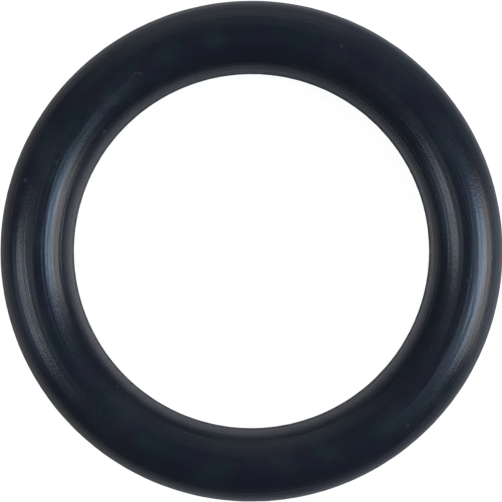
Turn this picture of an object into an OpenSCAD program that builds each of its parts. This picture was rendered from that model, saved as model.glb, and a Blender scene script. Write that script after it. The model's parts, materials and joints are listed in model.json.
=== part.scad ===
// Rubber o-ring: one moulded ring of round section, with the fine line of
// trimmed flash that its two mould halves leave round the inside and outside.
// The ring lies flat, its axis is Z and its centre is the origin.
// Every size is in millimetres.

/* [Ring] */
// Inside diameter, across the round section and without the flash
inside_d = 15; // [4:0.01:110]
// Diameter of the round section
section_d = 3; // [1.6:0.01:7]

/* [Parting line] */
// How far the trimmed flash stands out of the round section
flash_height = 0.045; // [0.02:0.005:0.12]
// Width of the flash at its trimmed tip
flash_tip_w = 0.1; // [0.05:0.01:0.15]
// Width of the flash where it leaves the round section
flash_root_w = 0.2; // [0.16:0.01:0.3]

/* [Finish] */
// Colour of the rubber
rubber_colour = "#191c22";

/* [Hidden] */

section_r = section_d / 2;
// Radius from the ring's axis to the centre of its section
centre_r = (inside_d + section_d) / 2;

// Straight steps in the drawn section and in the drawn turn
section_steps = 96;
turn_steps = 240;

// Both lines of flash on a section centred on the origin, drawn as one plate
// that runs through the section. Its flanks slope from the trimmed tip to the
// point where they meet the round section, and on into the rubber.
module flash_profile() {
    tip_x = section_r + flash_height;
    tip_y = flash_tip_w / 2;
    root_y = flash_root_w / 2;
    root_x = sqrt(section_r * section_r - root_y * root_y);
    slope = (root_y - tip_y) / (tip_x - root_x);
    foot_x = root_x - flash_height;
    foot_y = root_y + slope * flash_height;
    polygon([
        [-tip_x, -tip_y],
        [-foot_x, -foot_y],
        [foot_x, -foot_y],
        [tip_x, -tip_y],
        [tip_x, tip_y],
        [foot_x, foot_y],
        [-foot_x, foot_y],
        [-tip_x, tip_y],
    ]);
}

// The moulded section: the mould halves meet at mid height, so the flash
// lies at the section's outermost and innermost points.
module moulded_section() {
    circle(d = section_d, $fn = section_steps);
    flash_profile();
}

module o_ring() {
    color(rubber_colour)
        rotate_extrude($fn = turn_steps)
            translate([centre_r, 0])
                moulded_section();
}

o_ring();
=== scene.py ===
# %% [markdown]
# # A moulded rubber o-ring
#
# The object is one piece of rubber: a ring of round section, pressed in a mould of two
# halves. It has no printing and no moving parts, so everything that makes it look real is
# in its skin. There is the trimmed line of flash where the mould halves met, the grain that
# the mould leaves, a thin greyish film that rubber sweats out, and a little dust.
#
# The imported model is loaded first. It is the fixed frame that every later step measures.

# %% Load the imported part
import json
import math
import bpy
import numpy as np
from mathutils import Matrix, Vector


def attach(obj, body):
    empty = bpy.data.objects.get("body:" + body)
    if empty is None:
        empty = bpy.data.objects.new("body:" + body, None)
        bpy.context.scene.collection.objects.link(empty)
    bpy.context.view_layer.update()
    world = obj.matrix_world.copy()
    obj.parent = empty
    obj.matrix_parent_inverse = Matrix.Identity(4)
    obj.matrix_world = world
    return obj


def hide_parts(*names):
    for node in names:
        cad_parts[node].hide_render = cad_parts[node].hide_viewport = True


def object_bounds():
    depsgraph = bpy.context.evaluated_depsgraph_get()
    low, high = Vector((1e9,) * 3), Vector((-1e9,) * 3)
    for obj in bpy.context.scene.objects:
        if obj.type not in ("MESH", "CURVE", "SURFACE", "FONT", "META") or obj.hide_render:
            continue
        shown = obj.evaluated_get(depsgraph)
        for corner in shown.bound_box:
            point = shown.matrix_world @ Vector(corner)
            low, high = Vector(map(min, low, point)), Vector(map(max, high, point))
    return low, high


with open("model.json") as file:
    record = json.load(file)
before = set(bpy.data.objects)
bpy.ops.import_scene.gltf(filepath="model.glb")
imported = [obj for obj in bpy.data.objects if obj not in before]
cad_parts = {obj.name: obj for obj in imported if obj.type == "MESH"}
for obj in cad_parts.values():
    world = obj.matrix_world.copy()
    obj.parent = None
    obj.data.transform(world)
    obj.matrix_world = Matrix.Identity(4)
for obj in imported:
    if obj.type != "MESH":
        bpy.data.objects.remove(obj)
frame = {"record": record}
cad_low, cad_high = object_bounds()
MM = 0.001
print("CAD box in mm:", [round(v / MM, 3) for v in (*cad_low, *cad_high)])

# %% [markdown]
# ## The ring's sizes
#
# Nothing is measured twice. The height of the box is the diameter of the round section, the
# width of the box runs from flash tip to flash tip, and the record's `shaft` mount gives the
# radius of the flash inside the hole. The remaining sizes follow from these three.

# %% Work out the sizes from the frame
section_r = (cad_high.z - cad_low.z) / 2
outer_tip_r = (cad_high.x - cad_low.x) / 2
mounts = {mount["name"]: mount for mount in frame["record"]["mounts"]}
inner_tip_r = mounts["shaft"]["dims"]["r_mm"] * MM
centre_r = (outer_tip_r + inner_tip_r) / 2
flash_height = (outer_tip_r - inner_tip_r) / 2 - section_r
flash_tip_w = mounts["shaft"]["dims"]["length_mm"] * MM
flash_root_w = 2 * flash_tip_w
print(f"section radius {section_r / MM:.3f} mm, centre radius {centre_r / MM:.3f} mm")
print(f"flash {flash_height / MM:.3f} mm high, {flash_tip_w / MM:.2f} mm wide at its tip")

# %% [markdown]
# ## Unevenness that closes on itself
#
# A trimmed edge is ragged and a soft ring is never quite round. Random numbers along the turn
# would leave a step where the end meets the start. A sum of waves that each go round a whole
# number of times has no such step, so it is used for every unevenness here. The random phases
# come from a seed, and each run gives the same ring.

# %% A seeded unevenness round a circle
LEAST_HEIGHT = 0.4             # the least random height of a wave, where the most is 1


def unevenness(angle, fewest, most, seed):
    """Sum of cosine waves with fewest to most crests in one turn.

    Each wave has a random phase and a random height over the root of its number of crests.
    The sum is divided by its own largest value, so it runs between about -1 and 1.
    """
    rng = np.random.default_rng(seed)
    crests = np.arange(fewest, most + 1)
    phase = rng.uniform(0, 2 * np.pi, crests.size)
    height = rng.uniform(LEAST_HEIGHT, 1.0, crests.size) / np.sqrt(crests)
    waves = height * np.cos(np.multiply.outer(angle, crests) + phase)
    total = waves.sum(axis=-1)
    return total / np.abs(total).max()


print("unevenness repeats:", np.allclose(*unevenness(np.array([[0.0], [2 * np.pi]]), 3, 9, 1)))

# %% [markdown]
# ## The skin of the ring
#
# The ring could be a torus primitive with a bevelled strip stuck on, but the strip would meet
# the torus in a hard seam, and a primitive has equal steps where only the flash needs fine
# ones. Here the whole skin is one formula of two angles: the turn round the ring's axis and
# the angle round its section. The steps round the section are crowded together at the two
# parting lines, where the flash stands up, and wider at the top and underneath.

# %% The skin as a function of two angles
TURN_STEPS = 792
SECTION_STEPS = 116
CROWDING = 0.8                 # 0 spaces the section's steps evenly, 1 would stop at the flash
SKIN_DIP = 0.004 * MM          # how deep the shallow waves in the skin go
SQUEEZE = 0.026 * MM           # how much nearer the axis the ring's soft tube is pressed
SQUEEZE_TURN = math.radians(100)
FLASH_RAGGED = 0.20            # the share of its height that the flash loses where cut deepest
PARTING_WANDER = 0.012 * MM    # how far the parting line wanders up and down
DIP_TWIST = 0.35               # radians that a dip leans along the turn from middle to top
# Fewest and most crests in a turn, and the seed, of each unevenness
WANDER_WAVES = (2, 11, 5)
CUT_OUTSIDE_WAVES = (24, 190, 11)
CUT_INSIDE_WAVES = (20, 150, 12)
DIP_WAVES = (5, 40, 21)


def smooth_step(x, low, high):
    """Rises from 0 at low to 1 at high along the cubic 3t^2 - 2t^3, and is flat outside."""
    t = np.clip((x - low) / (high - low), 0, 1)
    return t * t * (3 - 2 * t)


def ring_skin(turn, section):
    """Points of the skin, and how much of each lies on the flash.

    The skin's distance from the centre of the section is the section's radius, less shallow
    dips, plus the flash's height where the point is within the flash's width of the parting
    plane. A point lies at that distance in the direction of the section angle, which starts
    at the outermost point and goes up, and the section is carried round the ring's axis.
    """
    side = np.where(np.cos(section) > 0, 1.0, -1.0)
    wander = PARTING_WANDER * unevenness(turn, *WANDER_WAVES)
    from_parting = np.abs(section_r * np.sin(section) - wander * side)
    on_flash = 1 - smooth_step(from_parting, flash_tip_w / 2, flash_root_w / 2)
    cut_outside = 0.5 + 0.5 * unevenness(turn, *CUT_OUTSIDE_WAVES)
    cut_inside = 0.5 + 0.5 * unevenness(turn, *CUT_INSIDE_WAVES)
    cut = np.where(side > 0, cut_outside, cut_inside)
    dips = 0.5 + 0.5 * unevenness(turn + DIP_TWIST * np.sin(section), *DIP_WAVES)
    skin_r = section_r - SKIN_DIP * dips * (1 - on_flash)
    skin_r = skin_r + flash_height * on_flash * (1 - FLASH_RAGGED * cut)
    squeezed = SQUEEZE * np.cos(turn - SQUEEZE_TURN) ** 2
    from_axis = centre_r - squeezed + skin_r * np.cos(section)
    points = np.stack(
        [from_axis * np.cos(turn), from_axis * np.sin(turn), skin_r * np.sin(section)], axis=-1
    )
    return points, on_flash


# %% Lay the two angles out on a grid
even = np.linspace(0, 2 * np.pi, SECTION_STEPS, endpoint=False)
section_angles = even - CROWDING / 2 * np.sin(2 * even)
turn_angles = np.linspace(0, 2 * np.pi, TURN_STEPS, endpoint=False)
turn_grid, section_grid = np.meshgrid(turn_angles, section_angles, indexing="ij")
skin_points, flash_share = ring_skin(turn_grid, section_grid)
print("grid", skin_points.shape, "lowest point", round(skin_points[..., 2].min() / MM, 4), "mm")

# %% [markdown]
# ## From grid to mesh
#
# Both directions of the grid close on themselves, so the last row of quads joins the first.
# `np.roll` gives each corner its neighbour without a loop. The corners are listed so that
# each face looks out of the rubber. Two attributes are stored with each corner: how much of it
# lies on the flash, and how near it is to the parting line, where a mould wears first and
# leaves the skin gritty. The material roughens both. Near the parting line it also lightens
# the colour, partly for the wear and partly as a painted reflection on the rims.

# %% A closed mesh from a grid that wraps both ways
def closed_mesh(name, points, **attributes):
    """A mesh of quads between neighbours of a grid that closes in both directions.

    The quad at a grid point runs to the next point round the turn, then to the next round
    both, then to the next round the section, and back. attributes are one value per point.
    """
    index = np.arange(points.shape[0] * points.shape[1]).reshape(points.shape[:2])
    along = np.roll(index, -1, axis=0)
    across = np.roll(index, -1, axis=1)
    both = np.roll(along, -1, axis=1)
    quads = np.stack([index, along, both, across], axis=-1).reshape(-1, 4)
    mesh = bpy.data.meshes.new(name)
    mesh.vertices.add(index.size)
    mesh.vertices.foreach_set("co", points.ravel())
    mesh.loops.add(quads.size)
    mesh.loops.foreach_set("vertex_index", quads.ravel())
    mesh.polygons.add(len(quads))
    mesh.polygons.foreach_set("loop_start", np.arange(0, quads.size, 4))
    mesh.update(calc_edges=True)
    mesh.validate()
    mesh.shade_smooth()
    for label, values in attributes.items():
        mesh.attributes.new(label, "FLOAT", "POINT").data.foreach_set("value", values.ravel())
    return mesh


# The cosine of the section angle at which the worn skin begins, and at which it is at its most;
# its lighter colour there is partly wear and partly a painted reflection on the rims
NEAR_PARTING_FROM = 0.82
NEAR_PARTING_FULL = 0.98
parting_share = smooth_step(np.abs(np.cos(section_grid)), NEAR_PARTING_FROM, NEAR_PARTING_FULL)
skin_marks = {"on_flash": flash_share, "near_parting": parting_share}
ring_mesh = closed_mesh("moulded_ring", skin_points, **skin_marks)
ring = bpy.data.objects.new("moulded_ring", ring_mesh)
bpy.context.collection.objects.link(ring)
print("triangles:", 2 * len(ring_mesh.polygons))

# %% Check that every face looks outwards
faces = len(ring_mesh.polygons)
face_centre = np.empty(3 * faces)
face_normal = np.empty(3 * faces)
ring_mesh.polygons.foreach_get("center", face_centre)
ring_mesh.polygons.foreach_get("normal", face_normal)
face_centre = face_centre.reshape(-1, 3)
face_normal = face_normal.reshape(-1, 3)
core = face_centre * [1, 1, 0]
core *= centre_r / np.linalg.norm(core, axis=1, keepdims=True)
outward = np.einsum("ij,ij->i", face_centre - core, face_normal)
print("faces that look inwards:", int((outward < 0).sum()))

# %% [markdown]
# ## Helpers for shader nodes
#
# A material is a sheet of nodes and wires. Three small helpers keep the recipes readable: one
# adds a node and sets its plain values, one joins two sockets, and one starts a node group
# with its named inputs and outputs.

# %% Add nodes, join them and start a group
def add_node(sheet, kind, values=None, **settings):
    """One node on a sheet, with its settings, and its input values by socket name or number."""
    made = sheet.nodes.new(kind)
    for label, value in settings.items():
        setattr(made, label, value)
    for socket, value in (values or {}).items():
        made.inputs[socket].default_value = value
    return made


def join(sheet, source, target):
    """A wire from an output socket to an input socket."""
    sheet.links.new(source, target)


def start_group(name, inputs, output):
    """A node group with a vector input, further inputs with their defaults, and one output.

    An input whose default is a tuple is a vector, and any other is a number.
    """
    group = bpy.data.node_groups.new(name, "ShaderNodeTree")
    group.interface.new_socket("Vector", in_out="INPUT", socket_type="NodeSocketVector")
    for label, value in inputs.items():
        kind = "NodeSocketVector" if isinstance(value, tuple) else "NodeSocketFloat"
        socket = group.interface.new_socket(label, in_out="INPUT", socket_type=kind)
        socket.default_value = value
    group.interface.new_socket(output, in_out="OUTPUT", socket_type="NodeSocketFloat")
    return group, group.nodes.new("NodeGroupInput"), group.nodes.new("NodeGroupOutput")


# %% [markdown]
# ## Skin effects as node groups
#
# Four effects are node groups, each with its own inputs. *Cloud* is a soft patchy mask, for the
# film, for changes of tint and gloss and for grit, each at its own size. *Specks* are small
# round marks at random places, for dust and for pits. *Turning marks* are fine rings that a
# lathe cut in the mould and the rubber copied. They depend only on a point's height and its
# distance from the axis, so they run round the ring. A *spot* is one soft scuff at a given
# place, and the ring has a handful of them.

# %% Cloud: a soft patchy mask
def make_cloud():
    """Noise of a given size, stretched so that Low becomes 0 and High becomes 1."""
    defaults = {"Size": 1.0, "Low": 0.4, "High": 0.6}
    group, inward, outward_end = start_group("cloud", defaults, "Mask")
    noise = add_node(group, "ShaderNodeTexNoise", {"Detail": 4.0, "Roughness": 0.55})
    per_metre = add_node(group, "ShaderNodeMath", {0: 1.0}, operation="DIVIDE")
    stretch = add_node(group, "ShaderNodeMapRange", interpolation_type="SMOOTHSTEP")
    join(group, inward.outputs["Vector"], noise.inputs["Vector"])
    join(group, inward.outputs["Size"], per_metre.inputs[1])
    join(group, per_metre.outputs[0], noise.inputs["Scale"])
    join(group, noise.outputs["Fac"], stretch.inputs["Value"])
    join(group, inward.outputs["Low"], stretch.inputs["From Min"])
    join(group, inward.outputs["High"], stretch.inputs["From Max"])
    join(group, stretch.outputs["Result"], outward_end.inputs["Mask"])
    return group


# %% Specks: small round marks at random places
def make_specks():
    """Cells of a given size, a share of which hold one round mark of the given radius.

    A cell's random colour decides whether it holds a mark, and the distance to the cell's
    own point, compared with the radius, draws it with a soft edge.
    """
    defaults = {"Spacing": 1.0, "Radius": 0.1, "Share": 0.3}
    group, inward, outward_end = start_group("specks", defaults, "Mask")
    cells = add_node(group, "ShaderNodeTexVoronoi", {"Randomness": 1.0}, feature="F1")
    per_metre = add_node(group, "ShaderNodeMath", {0: 1.0}, operation="DIVIDE")
    near = add_node(group, "ShaderNodeMapRange", {"To Min": 1.0, "To Max": 0.0})
    near.interpolation_type = "SMOOTHSTEP"
    colour = add_node(group, "ShaderNodeSeparateColor")
    chosen = add_node(group, "ShaderNodeMath", operation="LESS_THAN")
    both = add_node(group, "ShaderNodeMath", operation="MULTIPLY")
    join(group, inward.outputs["Vector"], cells.inputs["Vector"])
    join(group, inward.outputs["Spacing"], per_metre.inputs[1])
    join(group, per_metre.outputs[0], cells.inputs["Scale"])
    join(group, cells.outputs["Distance"], near.inputs["Value"])
    join(group, inward.outputs["Radius"], near.inputs["From Max"])
    join(group, cells.outputs["Color"], colour.inputs["Color"])
    join(group, colour.outputs["Red"], chosen.inputs[0])
    join(group, inward.outputs["Share"], chosen.inputs[1])
    join(group, near.outputs["Result"], both.inputs[0])
    join(group, chosen.outputs[0], both.inputs[1])
    join(group, both.outputs[0], outward_end.inputs["Mask"])
    return group


# %% Turning marks: rings copied from the lathe-cut mould
def make_turning_marks():
    """Noise over the distance from the axis and the height, which barely changes round a turn.

    The third coordinate is the sum of x and y at a small share, so that a mark fades in and
    out as it goes round.
    """
    defaults = {"Spacing": 1.0, "Fade": 0.02}
    group, inward, outward_end = start_group("turning_marks", defaults, "Height")
    axes = add_node(group, "ShaderNodeSeparateXYZ")
    flat = add_node(group, "ShaderNodeCombineXYZ")
    from_axis = add_node(group, "ShaderNodeVectorMath", operation="LENGTH")
    drift = add_node(group, "ShaderNodeMath", operation="ADD")
    faded = add_node(group, "ShaderNodeMath", operation="MULTIPLY")
    place = add_node(group, "ShaderNodeCombineXYZ")
    per_metre = add_node(group, "ShaderNodeMath", {0: 1.0}, operation="DIVIDE")
    noise = add_node(group, "ShaderNodeTexNoise", {"Detail": 1.0, "Roughness": 0.5})
    join(group, inward.outputs["Vector"], axes.inputs[0])
    join(group, axes.outputs["X"], flat.inputs["X"])
    join(group, axes.outputs["Y"], flat.inputs["Y"])
    join(group, flat.outputs[0], from_axis.inputs[0])
    join(group, axes.outputs["X"], drift.inputs[0])
    join(group, axes.outputs["Y"], drift.inputs[1])
    join(group, drift.outputs[0], faded.inputs[0])
    join(group, inward.outputs["Fade"], faded.inputs[1])
    join(group, from_axis.outputs["Value"], place.inputs["X"])
    join(group, axes.outputs["Z"], place.inputs["Y"])
    join(group, faded.outputs[0], place.inputs["Z"])
    join(group, place.outputs[0], noise.inputs["Vector"])
    join(group, inward.outputs["Spacing"], per_metre.inputs[1])
    join(group, per_metre.outputs[0], noise.inputs["Scale"])
    join(group, noise.outputs["Fac"], outward_end.inputs["Height"])
    return group


# %% Spot: one soft scuff at a known place
SPOT_LUMPS = 1.5               # how many lumps of the noise that frays its edge fit in a radius
NOISE_MIDDLE = (0.5, 0.5, 0.5)


def make_spot():
    """A soft mark round a centre, with an uneven edge.

    The point is first pushed aside by noise, by up to half the radius each way. Its distance
    from the centre then fades from the strength to 0 at the radius.
    """
    defaults = {"Centre": (0.0, 0.0, 0.0), "Radius": 1.0, "Strength": 1.0}
    group, inward, outward_end = start_group("spot", defaults, "Mask")
    noise = add_node(group, "ShaderNodeTexNoise", {"Detail": 2.0})
    per_metre = add_node(group, "ShaderNodeMath", {0: SPOT_LUMPS}, operation="DIVIDE")
    push = add_node(group, "ShaderNodeVectorMath", {1: NOISE_MIDDLE}, operation="SUBTRACT")
    scaled = add_node(group, "ShaderNodeVectorMath", operation="SCALE")
    moved = add_node(group, "ShaderNodeVectorMath", operation="ADD")
    away = add_node(group, "ShaderNodeVectorMath", operation="DISTANCE")
    near = add_node(group, "ShaderNodeMapRange", {"To Max": 0.0})
    near.interpolation_type = "SMOOTHSTEP"
    join(group, inward.outputs["Strength"], near.inputs["To Min"])
    join(group, inward.outputs["Radius"], per_metre.inputs[1])
    join(group, per_metre.outputs[0], noise.inputs["Scale"])
    join(group, inward.outputs["Vector"], noise.inputs["Vector"])
    join(group, noise.outputs["Color"], push.inputs[0])
    join(group, push.outputs[0], scaled.inputs[0])
    join(group, inward.outputs["Radius"], scaled.inputs["Scale"])
    join(group, inward.outputs["Vector"], moved.inputs[0])
    join(group, scaled.outputs[0], moved.inputs[1])
    join(group, moved.outputs[0], away.inputs[0])
    join(group, inward.outputs["Centre"], away.inputs[1])
    join(group, away.outputs["Value"], near.inputs["Value"])
    join(group, inward.outputs["Radius"], near.inputs["From Max"])
    join(group, near.outputs["Result"], outward_end.inputs["Mask"])
    return group


cloud = make_cloud()
specks = make_specks()
turning_marks = make_turning_marks()
spot = make_spot()
print("groups:", [group.name for group in (cloud, specks, turning_marks, spot)])

# %% [markdown]
# ## The rubber
#
# Black rubber gets its colour from soot. It is dark with a navy cast that turns to teal in
# places, and it takes a satin gloss from the polished mould. Its skin is built up in layers:
# the bare rubber, the greyish film, the worn skin near the parting line, the trimmed edge,
# dust, and the scuffs. The worn skin's lighter colour is partly wear and partly a painted
# reflection that brightens the rims. Each mark changes both colour and roughness, because a
# mark that changes only the colour looks painted on. A little sheen lies over everything.

# %% Place a group in a material
def place_group(sheet, group, vector, **values):
    """A group on a sheet, fed with a vector, with its own values."""
    made = add_node(sheet, "ShaderNodeGroup", node_tree=group)
    for label, value in values.items():
        made.inputs[label].default_value = value
    join(sheet, vector, made.inputs["Vector"])
    return made.outputs[0]


def layer(sheet, mask, strength, below, above, kind):
    """Mixes above over below by a mask times a strength. kind is RGBA or FLOAT."""
    amount = add_node(sheet, "ShaderNodeMath", {1: strength}, operation="MULTIPLY")
    join(sheet, mask, amount.inputs[0])
    mix = add_node(sheet, "ShaderNodeMix", data_type=kind)
    join(sheet, amount.outputs[0], mix.inputs["Factor"])
    sockets = [socket for socket in mix.inputs if socket.enabled and socket.name in ("A", "B")]
    for socket, value in zip(sockets, (below, above)):
        if isinstance(value, bpy.types.NodeSocket):
            join(sheet, value, socket)
        else:
            socket.default_value = value
    return next(socket for socket in mix.outputs if socket.enabled)


# %% The rubber's own values
RUBBER_COLOUR = (0.0068, 0.0075, 0.0163, 1)
TEAL_COLOUR = (0.0034, 0.0112, 0.0148, 1)
FILM_COLOUR = (0.024, 0.027, 0.033, 1)
CUT_COLOUR = (0.070, 0.070, 0.074, 1)
# lighter than bare rubber near the parting line: partly wear, partly a painted reflection on the
# rims
WORN_AND_RIM_REFLECTION_COLOUR = (0.078, 0.078, 0.086, 1)
DUST_COLOUR = (0.085, 0.09, 0.10, 1)
RUBBER_IOR = 1.5
RUBBER_ROUGHNESS = 0.235
FILM_ROUGHNESS = 0.45
WORN_ROUGHNESS = 0.60
CUT_ROUGHNESS = 0.60
DUST_ROUGHNESS = 0.90
SHEEN = 0.10                   # fine dust that lightens the skin where it is seen aslant
SHEEN_ROUGHNESS = 0.35
GRAIN_SIZE = 0.10 * MM
GRAIN_DETAIL = 2.0
GRAIN_DEPTH = 0.0042 * MM
MARK_SPACING = 0.17 * MM       # between one turning mark and the next
MARK_FADE = 0.03               # the share of x plus y that fades a mark along the turn
MARK_DEPTH = 0.0210 * MM
PIT_DEPTH = 0.0022 * MM
# Each layer's mask, how strongly it covers what is below, and its own colour or roughness
COLOUR_LAYERS = (
    ("tint", 0.7, TEAL_COLOUR),
    ("film", 0.16, FILM_COLOUR),
    # the worn layer's colour is partly wear and partly a painted reflection on the rims
    ("worn_and_rim_reflection", 0.9, WORN_AND_RIM_REFLECTION_COLOUR),
    ("edge", 0.8, CUT_COLOUR),
    ("dust", 0.20, DUST_COLOUR),
    ("scuffs", 1.0, DUST_COLOUR),
)
ROUGHNESS_LAYERS = (
    ("film", 0.35, FILM_ROUGHNESS),
    ("patches", 0.15, FILM_ROUGHNESS),
    ("worn_and_rim_reflection", 0.9, WORN_ROUGHNESS),
    ("edge", 1.0, CUT_ROUGHNESS),
    ("dust", 1.0, DUST_ROUGHNESS),
    ("scuffs", 1.0, DUST_ROUGHNESS),
)
# Each scuff's turn and section angle in degrees, its radius in mm and its strength
SCUFFS = (
    (162.6, 61.9, 0.13, 0.35),
    (183.6, 44.0, 0.10, 0.35),
    (358.5, 54.9, 0.09, 0.50),
    (140.9, 141.2, 0.12, 0.30),
    (66.4, 83.4, 0.10, 0.25),
    (123.9, 102.4, 0.09, 0.14),
    (123.1, 102.3, 0.09, 0.20),
    (122.4, 104.3, 0.09, 0.20),
    (121.9, 107.4, 0.09, 0.14),
    (127.0, 108.0, 0.50, 0.05),
    (133.5, 110.5, 0.55, 0.06),
    (140.0, 113.0, 0.50, 0.05),
)


# %% Build the rubber
def make_rubber():
    """Bare rubber, film, worn skin with a painted rim reflection, trimmed edge, dust and scuffs,
    over grain and faint rings.
    """
    material = bpy.data.materials.new("rubber_skin")
    material.use_nodes = True
    sheet = material.node_tree
    shader = sheet.nodes["Principled BSDF"]
    shader.inputs["IOR"].default_value = RUBBER_IOR
    shader.inputs["Sheen Weight"].default_value = SHEEN
    shader.inputs["Sheen Roughness"].default_value = SHEEN_ROUGHNESS
    place = add_node(sheet, "ShaderNodeTexCoord").outputs["Object"]
    edge = add_node(sheet, "ShaderNodeAttribute", attribute_name="on_flash")

    film = place_group(sheet, cloud, place, Size=2.2 * MM, Low=0.44, High=0.74)
    patches = place_group(sheet, cloud, place, Size=0.5 * MM, Low=0.30, High=0.70)
    tint = place_group(sheet, cloud, place, Size=1.1 * MM, Low=0.42, High=0.58)
    dust = place_group(sheet, specks, place, Spacing=0.80 * MM, Radius=0.12, Share=0.10)
    pits = place_group(sheet, specks, place, Spacing=0.15 * MM, Radius=0.28, Share=0.10)
    grit = place_group(sheet, cloud, place, Size=0.13 * MM, Low=0.22, High=0.64)
    # grit near the parting line: real wear, and a lighter colour that paints a reflection on the
    # rims
    near_parting = add_node(sheet, "ShaderNodeAttribute", attribute_name="near_parting")
    worn_and_rim_reflection = add_node(sheet, "ShaderNodeMath", operation="MULTIPLY")
    join(sheet, grit, worn_and_rim_reflection.inputs[0])
    join(sheet, near_parting.outputs["Fac"], worn_and_rim_reflection.inputs[1])
    scuffs = None
    for turn, section, radius, strength in SCUFFS:
        at, _ = ring_skin(np.radians([turn]), np.radians([section]))
        scuff = place_group(sheet, spot, place, Centre=at[0], Radius=radius * MM, Strength=strength)
        if scuffs is not None:
            most = add_node(sheet, "ShaderNodeMath", operation="MAXIMUM")
            join(sheet, scuffs, most.inputs[0])
            join(sheet, scuff, most.inputs[1])
            scuff = most.outputs[0]
        scuffs = scuff

    masks = {"tint": tint, "film": film, "patches": patches, "dust": dust, "scuffs": scuffs}
    masks["worn_and_rim_reflection"] = worn_and_rim_reflection.outputs[0]
    masks["edge"] = edge.outputs["Fac"]
    colour = RUBBER_COLOUR
    for mask, strength, above in COLOUR_LAYERS:
        colour = layer(sheet, masks[mask], strength, colour, above, "RGBA")
    join(sheet, colour, shader.inputs["Base Color"])
    rough = RUBBER_ROUGHNESS
    for mask, strength, above in ROUGHNESS_LAYERS:
        rough = layer(sheet, masks[mask], strength, rough, above, "FLOAT")
    join(sheet, rough, shader.inputs["Roughness"])

    grain = add_node(sheet, "ShaderNodeTexNoise", {"Scale": 1 / GRAIN_SIZE, "Detail": GRAIN_DETAIL})
    join(sheet, place, grain.inputs["Vector"])
    rings = place_group(sheet, turning_marks, place, Spacing=MARK_SPACING, Fade=MARK_FADE)
    reliefs = ((rings, MARK_DEPTH), (grain.outputs["Fac"], GRAIN_DEPTH), (pits, -PIT_DEPTH))
    normal = None
    for height, depth in reliefs:
        bump = add_node(sheet, "ShaderNodeBump", {"Strength": 1.0, "Distance": abs(depth)})
        bump.invert = depth < 0
        join(sheet, height, bump.inputs["Height"])
        if normal is not None:
            join(sheet, normal, bump.inputs["Normal"])
        normal = bump.outputs["Normal"]
    join(sheet, normal, shader.inputs["Normal"])
    return material


rubber = make_rubber()
ring_mesh.materials.append(rubber)
print("rubber nodes:", len(rubber.node_tree.nodes))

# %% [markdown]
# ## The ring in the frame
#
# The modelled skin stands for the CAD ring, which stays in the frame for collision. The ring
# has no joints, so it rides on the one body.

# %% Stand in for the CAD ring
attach(ring, "root")
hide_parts("o_ring")

# %% [markdown]
# ## Table and surroundings
#
# A black satin ring shows little but what it reflects. Its two rims reflect what it lies on,
# and its crown reflects what hangs above, so the room is dim to keep the crown dark. The ring
# lies on a pale satin table that the lamps light. Its paint goes from warm grey on the left to
# cool grey on the right, a painted tint that stands for warm and cool light on the two sides.
# A camera would see it as light grey, so for camera and transmission rays most of the
# paint gives way to a white glow, and the little that is left of it keeps the ring's shadow.
#
# Glossy rays see the paint itself, because the rims would glare over a table that is white to
# them. They also see a pool of light in the ring's hole. It is dark in the middle and brightest
# near the ring, where it lights the inner rim, and most so at its left and right ends.

# %% A pale table that the camera sees as white
TABLE_HALF = 1.5
# warm and cool grey: a painted tint for warm light on the left and cool light on the right
GREY_WITH_WARM_LIGHT = (0.400, 0.352, 0.318, 1)
GREY_WITH_COOL_LIGHT = (0.325, 0.330, 0.345, 1)
LIGHT_TINT_HALF = 14 * MM            # the paint goes from warm on the left to cool on the right
TABLE_ROUGHNESS = 0.40
SEEN_PAINT = (0.12, 0.12, 0.12, 1)
SEEN_GLOW = 0.95
POOL_CENTRE = (0, 0.3 * MM, 0)
POOL_SHAPE = (1, 0.74, 1)      # narrows the pool's rings to ovals, longer from front to back
POOL_REACH = 10 * MM
POOL_STEPS = ((0.40, 0.04), (0.55, 0.20), (0.62, 0.42), (0.70, 0.90), (0.74, 0.90), (0.78, 0.0))


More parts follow.
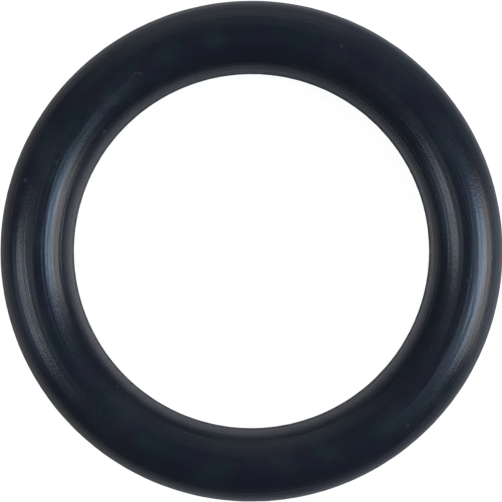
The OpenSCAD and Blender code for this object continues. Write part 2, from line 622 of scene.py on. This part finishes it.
def make_table_paint():
    """Satin paint from warm to cool grey, a painted tint of warm and cool light, which camera and
    transmission rays see glowing white.

    Glossy rays also see a pool of light in the ring's hole. POOL_STEPS gives its glow, as
    pairs of a share of POOL_REACH and the glow at that distance from its centre.
    """
    material = bpy.data.materials.new("table_paint")
    material.use_nodes = True
    sheet = material.node_tree
    paint = sheet.nodes["Principled BSDF"]
    paint.inputs["Roughness"].default_value = TABLE_ROUGHNESS
    paint.inputs["Emission Strength"].default_value = 1.0
    place = add_node(sheet, "ShaderNodeTexCoord").outputs["Object"]
    oval = add_node(sheet, "ShaderNodeVectorMath", {1: POOL_SHAPE}, operation="MULTIPLY")
    reach = add_node(sheet, "ShaderNodeVectorMath", {1: POOL_CENTRE}, operation="DISTANCE")
    share = add_node(sheet, "ShaderNodeMath", {1: POOL_REACH}, operation="DIVIDE")
    pool = add_node(sheet, "ShaderNodeValToRGB")
    pool.color_ramp.elements.remove(pool.color_ramp.elements[0])
    pool.color_ramp.elements[0].position = 1.0
    pool.color_ramp.elements[0].color = (0, 0, 0, 1)
    for position, glow in POOL_STEPS:
        pool.color_ramp.elements.new(position).color = (glow, glow, glow, 1)
    rays = add_node(sheet, "ShaderNodeLightPath")
    seen = add_node(sheet, "ShaderNodeMath", operation="MAXIMUM")
    join(sheet, place, oval.inputs[0])
    join(sheet, oval.outputs["Vector"], reach.inputs[0])
    join(sheet, reach.outputs["Value"], share.inputs[0])
    join(sheet, share.outputs[0], pool.inputs["Fac"])
    join(sheet, rays.outputs["Is Camera Ray"], seen.inputs[0])
    join(sheet, rays.outputs["Is Transmission Ray"], seen.inputs[1])
    axes = add_node(sheet, "ShaderNodeSeparateXYZ")
    across = add_node(sheet, "ShaderNodeMapRange", {"From Min": -LIGHT_TINT_HALF, "From Max": LIGHT_TINT_HALF})
    join(sheet, place, axes.inputs[0])
    join(sheet, axes.outputs["X"], across.inputs["Value"])
    # warm to cool across x: a painted tint of warm light on the left and cool light on the right
    colour = layer(sheet, across.outputs["Result"], 1.0, GREY_WITH_WARM_LIGHT, GREY_WITH_COOL_LIGHT, "RGBA")
    colour = layer(sheet, seen.outputs[0], 1.0, colour, SEEN_PAINT, "RGBA")
    glossy = rays.outputs["Is Glossy Ray"]
    glow = layer(sheet, glossy, 1.0, (0, 0, 0, 1), pool.outputs["Color"], "RGBA")
    glow = layer(sheet, seen.outputs[0], 1.0, glow, (SEEN_GLOW, SEEN_GLOW, SEEN_GLOW, 1), "RGBA")
    join(sheet, colour, paint.inputs["Base Color"])
    join(sheet, glow, paint.inputs["Emission Color"])
    return material


corners = [(-1, -1), (1, -1), (1, 1), (-1, 1)]
floor_mesh = bpy.data.meshes.new("floor")
table_top = [(x * TABLE_HALF, y * TABLE_HALF, 0) for x, y in corners]
floor_mesh.from_pydata(table_top, [], [(0, 1, 2, 3)])
floor_mesh.materials.append(make_table_paint())
floor = bpy.data.objects.new("floor", floor_mesh)
floor.location.z = cad_low.z
bpy.context.collection.objects.link(floor)
print("floor at", round(cad_low.z / MM, 3), "mm")

# %% A dim room that looks white from the camera
ROOM_COLOUR = (0.100, 0.110, 0.132, 1)
world = bpy.data.worlds.new("room")
bpy.context.scene.world = world
world.use_nodes = True
room = world.node_tree
dim = room.nodes["Background"]
dim.inputs["Color"].default_value = ROOM_COLOUR
backdrop = add_node(room, "ShaderNodeBackground", {"Color": (1, 1, 1, 1), "Strength": 1.0})
room_rays = add_node(room, "ShaderNodeLightPath")
room_seen = add_node(room, "ShaderNodeMath", operation="MAXIMUM")
room_mix = add_node(room, "ShaderNodeMixShader")
join(room, room_rays.outputs["Is Camera Ray"], room_seen.inputs[0])
join(room, room_rays.outputs["Is Transmission Ray"], room_seen.inputs[1])
join(room, room_seen.outputs[0], room_mix.inputs["Fac"])
join(room, dim.outputs[0], room_mix.inputs[1])
join(room, backdrop.outputs[0], room_mix.inputs[2])
join(room, room_mix.outputs[0], room.nodes["World Output"].inputs["Surface"])

# %% [markdown]
# ## Lamps
#
# A ring mirrors each lamp twice: once on the outer flank nearest the lamp, and once on the
# inner flank across the hole. One soft lamp on the right and a dimmer one on the left give the
# four glints. Each lamp is a stack of panels of different colours, which shows as bands along
# a glint, and a near panel that fades its upper edge. The right lamp has a second near panel,
# which warms the middle of its glints. A wide dim wall with a brighter sill stands behind the
# far side. The last panel is a fill, hidden from reflections, so it brings
# the rubber's own colour to a plain level without a glint of its own.

# %% Soft panels aimed at the ring
def soft_panel(name, azimuth, from_zenith, half_width, half_height, radiance, colour, away):
    """A rectangular lamp, given by the angles at which the ring sees it.

    It stands at azimuth round the ring and from_zenith down from overhead, in degrees. Its
    half sizes are the distance away times the tangents of their half angles, and its power
    is radiance times pi times its area.
    """
    turn = math.radians(azimuth)
    fall = math.radians(from_zenith)
    flat = math.sin(fall)
    towards = Vector((flat * math.cos(turn), flat * math.sin(turn), math.cos(fall)))
    data = bpy.data.lights.new(name, "AREA")
    data.shape = "RECTANGLE"
    data.size = 2 * away * math.tan(math.radians(half_width))
    data.size_y = 2 * away * math.tan(math.radians(half_height))
    data.energy = radiance * math.pi * (data.size * data.size_y)
    data.color = colour
    lamp = bpy.data.objects.new(name, data)
    lamp.location = towards * away
    lamp.rotation_euler = towards.to_track_quat("Z", "Y").to_euler()
    bpy.context.collection.objects.link(lamp)
    return lamp


BLUE = (0.40, 0.63, 1.0)
PALE = (0.86, 0.94, 1.0)
WARM = (1.0, 0.95, 0.94)
MIST = (0.88, 0.95, 1.0)
SKY = (0.68, 0.85, 1.0)
DUSK = (0.60, 0.79, 1.0)
AMBER = (1.0, 0.85, 0.75)
WHITE = (1, 1, 1)
FAR = 0.4
# Each panel's name, its azimuth, its angle from overhead, its half width and half height in
# degrees, its radiance, its colour and its distance in metres
PANELS = (
    ("right_blue", 353, 42.5, 13.5, 6.0, 6.1, BLUE, FAR),
    ("right_pale", 353, 54, 15, 6.5, 6.1, PALE, FAR),
    ("right_warm", 355, 72, 19, 10.5, 2.65, WARM, FAR),
    ("right_near", 350, 35, 12, 16, 1.4, DUSK, 0.055),
    ("right_amber", 353, 53.5, 12, 7, 1.3, AMBER, 0.037),
    ("left_mist", 191.5, 43, 10.5, 5.5, 4.8, MIST, FAR),
    ("left_sky", 191.5, 54.5, 10.5, 7, 2.2, SKY, FAR),
    ("left_deep", 193, 70, 12, 9, 0.75, BLUE, FAR),
    ("left_near", 188, 24, 6, 11, 1.15, PALE, 0.09),
    ("far_wall", 88, 66, 42, 28, 0.16, WHITE, FAR),
    ("far_sill", 92, 80, 26, 12, 0.27, WHITE, FAR),
    ("high_fill", 95, 42, 29, 29, 1.25, WHITE, FAR),
)
lamps = {panel[0]: soft_panel(*panel) for panel in PANELS}
lamps["high_fill"].visible_glossy = False
print("lamps:", len(lamps))

# %% [markdown]
# ## Camera
#
# The ring was seen from straight above and fills the picture. How fast the highlights move
# apart on the near and far flanks gives the distance: a line to the tube's centre leans about
# ten degrees from the vertical. The lens is then whatever makes the ring's outline as wide as
# the picture shows it.

# %% Look straight down
PICTURE_PX = 502
OUTLINE_RADIUS_PX = 250.55
CENTRE_PX = (251.5, 251.15)
LEAN = math.radians(10)
SENSOR_WIDTH = 36.0
NEAREST_SEEN = 0.001
outline_r = np.hypot(skin_points[..., 0], skin_points[..., 1]).max(axis=1).mean()
camera_height = centre_r / math.tan(LEAN)
picture_width = PICTURE_PX * outline_r / OUTLINE_RADIUS_PX
per_px = picture_width / PICTURE_PX
camera_data = bpy.data.cameras.new("camera")
camera_data.sensor_width = SENSOR_WIDTH
camera_data.lens = camera_data.sensor_width * camera_height / picture_width
camera_data.clip_start = NEAREST_SEEN
camera = bpy.data.objects.new("camera", camera_data)
camera.location.x = (PICTURE_PX / 2 - CENTRE_PX[0]) * per_px
camera.location.y = (CENTRE_PX[1] - PICTURE_PX / 2) * per_px
camera.location.z = camera_height
bpy.context.collection.objects.link(camera)
bpy.context.scene.camera = camera
print(f"camera {camera_height / MM:.1f} mm up, lens {camera_data.lens:.1f} mm")

# %% [markdown]
# ## Finish
#
# The picture uses the plain Standard view, so colours come out as they were set.

# %% Finish
bpy.context.scene.view_settings.view_transform = "Standard"
